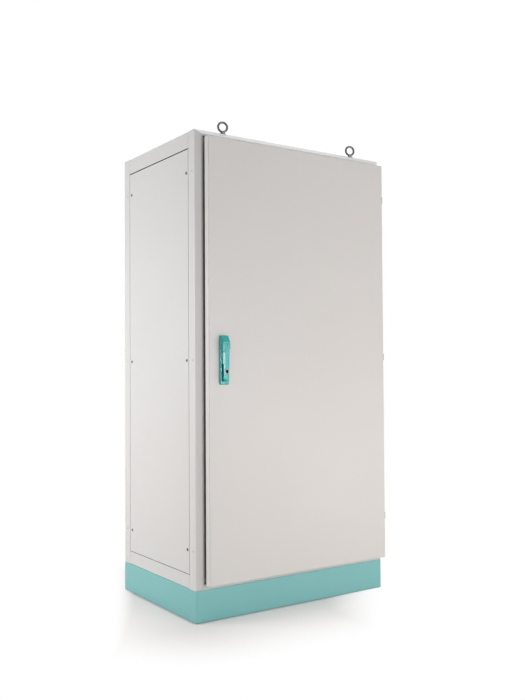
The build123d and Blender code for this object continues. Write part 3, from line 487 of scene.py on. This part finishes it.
def cross_outline(shares, radius, height):
    """The outline of a cross recess, with a point for each side of the head."""
    arm, half = (radius * share for share in shares)
    points = []
    for index in range(SCREW_SIDES):
        angle = 2 * math.pi * index / SCREW_SIDES
        cosine = max(abs(math.cos(angle)), SMALLEST_DIVISOR)
        sine = max(abs(math.sin(angle)), SMALLEST_DIVISOR)
        reach = max(min(arm / cosine, half / sine), min(half / cosine, arm / sine))
        points.append((reach * math.cos(angle), reach * math.sin(angle), height))
    return points


def screw_head(mesh, matrix, radius, height):
    """A pan head with a cross recess."""
    profile = rounded_profile(radius, height, height * SCREW_ROUND_SHARE)
    rings = lathe(mesh, profile, matrix, SCREW_SIDES)
    mouth = ring_of(mesh, cross_outline(RECESS_MOUTH_SHARES, radius, height), matrix)
    floor_height = height * RECESS_FLOOR_HEIGHT_SHARE
    recess_floor = ring_of(mesh, cross_outline(RECESS_FLOOR_SHARES, radius, floor_height), matrix)
    bridge(mesh, rings[-1], mouth)
    bridge(mesh, mouth, recess_floor)
    mesh.faces.new(recess_floor)


def shank(mesh, matrix, radius, length):
    """The part of a fastener behind its seat."""
    lower = seat((0, 0, -length), UP)
    profile = [(radius * SHANK_TIP_SHARE, 0.0), (radius, radius * SHANK_TAPER_SHARE), (radius, length)]
    rings = lathe(mesh, profile, matrix @ lower, SHANK_SIDES)
    mesh.faces.new(rings[-1])


def head_seats(node_name, axis, head_height):
    """For each fastener of a node, the seat of its head, facing outward, and the length behind it."""
    seats = []
    for low, high in islands(node_name):
        place = (low + high) / 2
        way = Vector((0, 0, 0))
        way[axis] = 1.0 if place[axis] > 0 else -1.0
        top = high[axis] if way[axis] > 0 else low[axis]
        place[axis] = top - way[axis] * head_height
        seats.append((seat(place, way), abs(high[axis] - low[axis]) - head_height))
    return seats


def panel_screws(name, node_name, axis):
    mesh = bmesh.new()
    for matrix, length in head_seats(node_name, axis, SCREW_HEAD_HEIGHT):
        screw_head(mesh, matrix, SCREW_HEAD_RADIUS, SCREW_HEAD_HEIGHT)
        shank(mesh, matrix, SCREW_SHANK_RADIUS, length)
    piece(name, mesh, "cabinet", "zinc_steel", (node_name,), material=SHADED_SCREW_ZINC)


panel_screws("side_screws", "side_panel_screws", X_AXIS)
panel_screws("rear_screws", "rear_panel_screws", Y_AXIS)
panel_screws("roof_panel_screws", "roof_screws", Z_AXIS)

plugs = bmesh.new()
plug_profile = rounded_profile(PLUG_HEAD_RADIUS, PLUG_HEAD_HEIGHT, PLUG_HEAD_HEIGHT * PLUG_ROUND_SHARE)
plug_profile += [
    (PLUG_DIMPLE_RADIUS, PLUG_HEAD_HEIGHT),
    (PLUG_DIMPLE_FLOOR_RADIUS, PLUG_HEAD_HEIGHT * PLUG_DIMPLE_FLOOR_SHARE),
]
for matrix, length in head_seats("post_plugs", X_AXIS, PLUG_HEAD_HEIGHT):
    rings = lathe(plugs, plug_profile, matrix, PLUG_SIDES)
    plugs.faces.new(rings[-1])
    shank(plugs, matrix, PLUG_STEM_RADIUS, length)
piece("post_plug_caps", plugs, "cabinet", "plug_plastic", ("post_plugs",))


# Lifting eyes

EYE_TURN = math.radians(-15)
EYE_RING = 0.0198
EYE_WIRE = 0.0045
EYE_HEIGHT = 0.035
EYE_SHANK_RADIUS = 0.006
EYE_SIDES = 40
# Collar and neck below the ring, as (radius, height) above the roof
EYE_FOOT = [
    (0.0138, 0.0), (0.0146, 0.0006), (0.0148, 0.002), (0.0146, 0.0036), (0.0132, 0.0056),
    (0.0110, 0.0074), (0.0092, 0.0096), (0.0078, 0.0122), (0.0056, 0.0140),
]
ROOF = 2.0


def torus(mesh, matrix, ring, wire, around=56, section=20):
    """A closed ring of round wire, about the matrix's Z."""
    loops = []
    for index in range(around):
        angle = 2 * math.pi * index / around
        out = Vector((math.cos(angle), math.sin(angle), 0))
        turns = [2 * math.pi * step / section for step in range(section)]
        points = [out * (ring + wire * math.cos(turn)) + UP * (wire * math.sin(turn)) for turn in turns]
        loops.append(ring_of(mesh, points, matrix))
    bridge_round(mesh, loops)


eyes = bmesh.new()
for low, high in islands("lifting_eyes"):
    foot = Matrix.Translation(((low.x + high.x) / 2, (low.y + high.y) / 2, ROOF))
    rings = lathe(eyes, EYE_FOOT, foot, EYE_SIDES)
    eyes.faces.new(rings[-1])
    shank(eyes, foot, EYE_SHANK_RADIUS, ROOF - low.z)
    turn = Matrix.Rotation(EYE_TURN, 4, "Z") @ seat((0, 0, EYE_HEIGHT), BACK)
    torus(eyes, foot @ turn, EYE_RING, EYE_WIRE)
piece("lifting_eye_bolts", eyes, "cabinet", "zinc_steel", ("lifting_eyes",), material=EYE_ZINC)


# Lock ring on the lever

LOCK_SIDES = 48
LOCK_SIDE_SHARE = 0.45
LOCK_SHOULDER_SHARE = 0.85
LOCK_SHOULDER_INSET = 0.0004
LOCK_RIM_INSET = 0.0011
LOCK_MOUTH_RADIUS = 0.0083
LOCK_THROAT_RADIUS = 0.0077
LOCK_BORE_RADIUS = 0.0076

ring_low, ring_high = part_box("lock_ring")
lock = bmesh.new()
lock_centre = Vector(((ring_low.x + ring_high.x) / 2, ring_high.y, (ring_low.z + ring_high.z) / 2))
lock_place = seat(lock_centre, FRONT)
rise = ring_high.y - ring_low.y
outer = (ring_high.x - ring_low.x) / 2
lock_profile = [
    (outer, 0.0),
    (outer, rise * LOCK_SIDE_SHARE),
    (outer - LOCK_SHOULDER_INSET, rise * LOCK_SHOULDER_SHARE),
    (outer - LOCK_RIM_INSET, rise),
    (LOCK_MOUTH_RADIUS, rise),
    (LOCK_THROAT_RADIUS, rise * LOCK_SHOULDER_SHARE),
    (LOCK_BORE_RADIUS, 0.0),
]
bridge_round(lock, [ring_of(lock, circle(*point, LOCK_SIDES), lock_place) for point in lock_profile])
piece("lock_bezel", lock, "lever", "lock_chrome", ("lock_ring",))


# Handle and hinges with eased edges

eased("lever_shell", "swing_lever", radius=0.0011)
eased("handle_housing", "handle_base", radius=0.0009)
eased("handle_cap", "handle_hub", radius=0.0006)
eased("hinge_leaves_frame", "hinge_frame_leaves", radius=0.0007, material=HINGE_ZINC)
eased("hinge_leaves_door", "hinge_door_leaves", radius=0.0007, material=HINGE_ZINC)


# Door seal: a D-section all round

SEAL_WIDTH = 0.016
SEAL_FOOT_SHARE = 0.3
SEAL_STEPS = 16

seal_low, seal_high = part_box("door_gasket")
seal_thickness = seal_high.y - seal_low.y
# The section as shares of its width and thickness: a foot with a round back
seal_section = [(0.0, 0.0), (0.0, SEAL_FOOT_SHARE)]
for step in range(1, SEAL_STEPS):
    angle = math.pi * step / SEAL_STEPS
    across = 0.5 - 0.5 * math.cos(angle)
    out = SEAL_FOOT_SHARE + (1 - SEAL_FOOT_SHARE) * math.sin(angle)
    seal_section.append((across, out))
seal_section += [(1.0, SEAL_FOOT_SHARE), (1.0, 0.0)]
seal = bmesh.new()
seal_loops = []
for across, out in seal_section:
    inset = across * SEAL_WIDTH
    y = seal_low.y + out * seal_thickness
    left, right = seal_low.x + inset, seal_high.x - inset
    bottom, top = seal_low.z + inset, seal_high.z - inset
    corners = [(left, y, bottom), (right, y, bottom), (right, y, top), (left, y, top)]
    seal_loops.append(ring_of(seal, corners, Matrix.Identity(4)))
bridge_round(seal, seal_loops)
piece("door_seal", seal, "door", "gasket_rubber", ("door_gasket",))


# Floor and surroundings

FLOOR_SIZE = 40.0
FLOOR_DROP = 0.0005
FLOOR_PALE = (0.97, 0.875, 0.83, 1.0)
CONTACT_REACH = 0.04
CONTACT_RANGE = (0.5, 0.75)
CONTACT_SHADE = 0.25
FOOT_HALF_DEPTH = 0.325
# The floor's share of plain white beside the object, and the distance at which it is all white
WHITE_NEAR = 0.3
WHITE_DISTANCE = 0.5
# Where the floor turns white to the left and right of the object: the direction of each fade in degrees
# to the front of +X, and how far along it the fade starts and ends
FLOOR_FADES = ((25.6, -0.50, -0.64), (43.1, 0.20, 0.60))
WORLD_LIGHT = 0.28


def combined(tree, operation, first, second):
    """Two values brought together by one operation."""
    node = tree.nodes.new("ShaderNodeMath")
    node.operation = operation
    tree.links.new(first, node.inputs[0])
    tree.links.new(second, node.inputs[1])
    return node.outputs["Value"]


def blended(tree, share, first, second):
    """The first shader, giving way to the second by a share."""
    node = tree.nodes.new("ShaderNodeMixShader")
    tree.links.new(share, node.inputs["Fac"])
    tree.links.new(first, node.inputs[1])
    tree.links.new(second, node.inputs[2])
    return node.outputs["Shader"]


def seen_directly(tree):
    """1 where the camera sees a surface, also through a reflection or glass, and 0 for its light."""
    path = tree.nodes.new("ShaderNodeLightPath")
    value = path.outputs["Is Camera Ray"]
    for kind in ("Is Glossy Ray", "Is Transmission Ray"):
        value = combined(tree, "MAXIMUM", value, path.outputs[kind])
    return value


def floor_white_share(shader):
    """How far the floor has turned plain white, by its distance from the object and the fades beside it."""
    half_foot = (cad_box[1].x, FOOT_HALF_DEPTH, 0.0)
    beyond = shader.vector("SUBTRACT", shader.vector("ABSOLUTE", shader.coordinates), half_foot)
    distance = shader.vector("LENGTH", shader.vector("MAXIMUM", beyond), result="Value")
    white_share = shader.spread(distance, WHITE_NEAR, 1.0, 0.0, WHITE_DISTANCE, "SMOOTHSTEP")
    for degrees, start, end in FLOOR_FADES:
        angle = math.radians(degrees)
        along = (math.cos(angle), -math.sin(angle), 0.0)
        across = shader.vector("DOT_PRODUCT", shader.coordinates, along, "Value")
        fade = shader.spread(across, 0.0, 1.0, start, end, "SMOOTHSTEP")
        white_share = combined(shader.tree, "MAXIMUM", white_share, fade)
    return white_share


def floor_material():
    """Pale studio floor with a soft gloss and a painted contact shadow next to the object; far from the
    object it is plain white.
    """
    shader = Shader("studio_floor", Roughness=0.4, Specular_IOR_Level=0.2)
    tone = shader.patches(scale=1.5, detail=2.0)
    lit = shader.shaded(tone, FLOOR_PALE, low=1.0, high=1.01)
    # Painted contact shadow: the floor's colour darkens where it is closed in next to the object.
    contact_shadow = shader.spread(shader.open_share(CONTACT_REACH), 1.0, 0.0, *CONTACT_RANGE)
    shader.drive("Base Color", shader.mix(contact_shadow, lit, scaled(FLOOR_PALE, CONTACT_SHADE)))
    white = shader.node("Emission", Color=WHITE, Strength=1.0)
    share = combined(shader.tree, "MULTIPLY", seen_directly(shader.tree), floor_white_share(shader))
    surface = blended(shader.tree, share, shader.bsdf.outputs["BSDF"], white.outputs["Emission"])
    shader.link(surface, shader.output.inputs["Surface"])
    return shader.material


floor_mesh = bmesh.new()
bmesh.ops.create_grid(floor_mesh, x_segments=1, y_segments=1, size=FLOOR_SIZE)
floor_data = bpy.data.meshes.new("studio_floor")
floor_mesh.to_mesh(floor_data)
floor_mesh.free()
floor_data.materials.append(floor_material())
floor = bpy.data.objects.new("studio_floor", floor_data)
floor.location.z = -FLOOR_DROP
bpy.context.scene.collection.objects.link(floor)

# The world gives soft light from all round, and is plain white where it is seen
world = bpy.data.worlds.new("studio")
bpy.context.scene.world = world
world.use_nodes = True
world_tree = world.node_tree
world_tree.nodes.clear()
backgrounds = []
for strength in (WORLD_LIGHT, 1.0):
    background = world_tree.nodes.new("ShaderNodeBackground")
    background.inputs["Color"].default_value = WHITE
    background.inputs["Strength"].default_value = strength
    backgrounds.append(background.outputs["Background"])
world_out = world_tree.nodes.new("ShaderNodeOutputWorld")
world_surface = blended(world_tree, seen_directly(world_tree), *backgrounds)
world_tree.links.new(world_surface, world_out.inputs["Surface"])


# Lamps

NEUTRAL = (1.0, 1.0, 1.0)
COOL = (0.97, 0.985, 1.0)
WARM = (1.0, 0.87, 0.8)


def softbox(name, place, target, size, power, colour=NEUTRAL):
    """A flat lamp of a given width and height that faces a target."""
    lamp = bpy.data.lights.new(name, "AREA")
    lamp.shape = "RECTANGLE"
    lamp.size, lamp.size_y = size
    lamp.energy = power
    lamp.color = colour
    thing = bpy.data.objects.new(name, lamp)
    way = Vector(target) - Vector(place)
    thing.rotation_euler = way.to_track_quat("-Z", "Y").to_euler()
    thing.location = place
    bpy.context.scene.collection.objects.link(thing)


softbox("left_softbox", (-2.7, 0.9, 1.2), (-0.5, -0.1, 1.15), size=(1.0, 1.0), power=40.0)
softbox("front_softbox", (0.7, -4.1, 1.0), (0.0, -0.4, 1.0), size=(2.2, 1.2), power=55.0, colour=COOL)
softbox("right_softbox", (2.1, -2.9, 0.1), (0.4, -0.4, 0.4), size=(1.2, 0.8), power=27.0, colour=WARM)
softbox("top_softbox", (1.0, 0.1, 4.4), (0.0, -0.2, 1.5), size=(2.4, 2.4), power=40.0)
softbox("edge_strip", (-2.9, -2.02, 1.0), (-0.4, -0.4, 1.03), size=(0.12, 0.36), power=3.6)


# Camera: its place in metres, its direction, and the photo's frame in pixels

CAMERA_PLACE = (-2.192, -3.204, 1.015)
YAW = math.radians(33.56)
PITCH = math.radians(1.44)
ROLL = math.radians(-0.30)
FOCAL_PIXELS = 826.0
FRAME_WIDTH = 525.0
FRAME_HEIGHT = 700.0
CENTRE_X = 240.0
SENSOR = 36.0

ahead = Vector((math.sin(YAW) * math.cos(PITCH), math.cos(YAW) * math.cos(PITCH), math.sin(PITCH)))
level = Vector((math.cos(YAW), -math.sin(YAW), 0))
above = level.cross(ahead)
side = math.cos(ROLL) * level + math.sin(ROLL) * above
head = math.cos(ROLL) * above - math.sin(ROLL) * level
lens = bpy.data.cameras.new("photo_camera")
lens.sensor_fit = "VERTICAL"
lens.sensor_height = SENSOR
lens.lens = FOCAL_PIXELS / FRAME_HEIGHT * SENSOR
lens.shift_x = (FRAME_WIDTH / 2 - CENTRE_X) / FRAME_HEIGHT
camera = bpy.data.objects.new("photo_camera", lens)
turned = Matrix((side, head, -ahead)).transposed().to_4x4()
camera.matrix_world = Matrix.Translation(CAMERA_PLACE) @ turned
bpy.context.scene.collection.objects.link(camera)
bpy.context.scene.camera = camera

bpy.context.scene.view_settings.view_transform = "Standard"
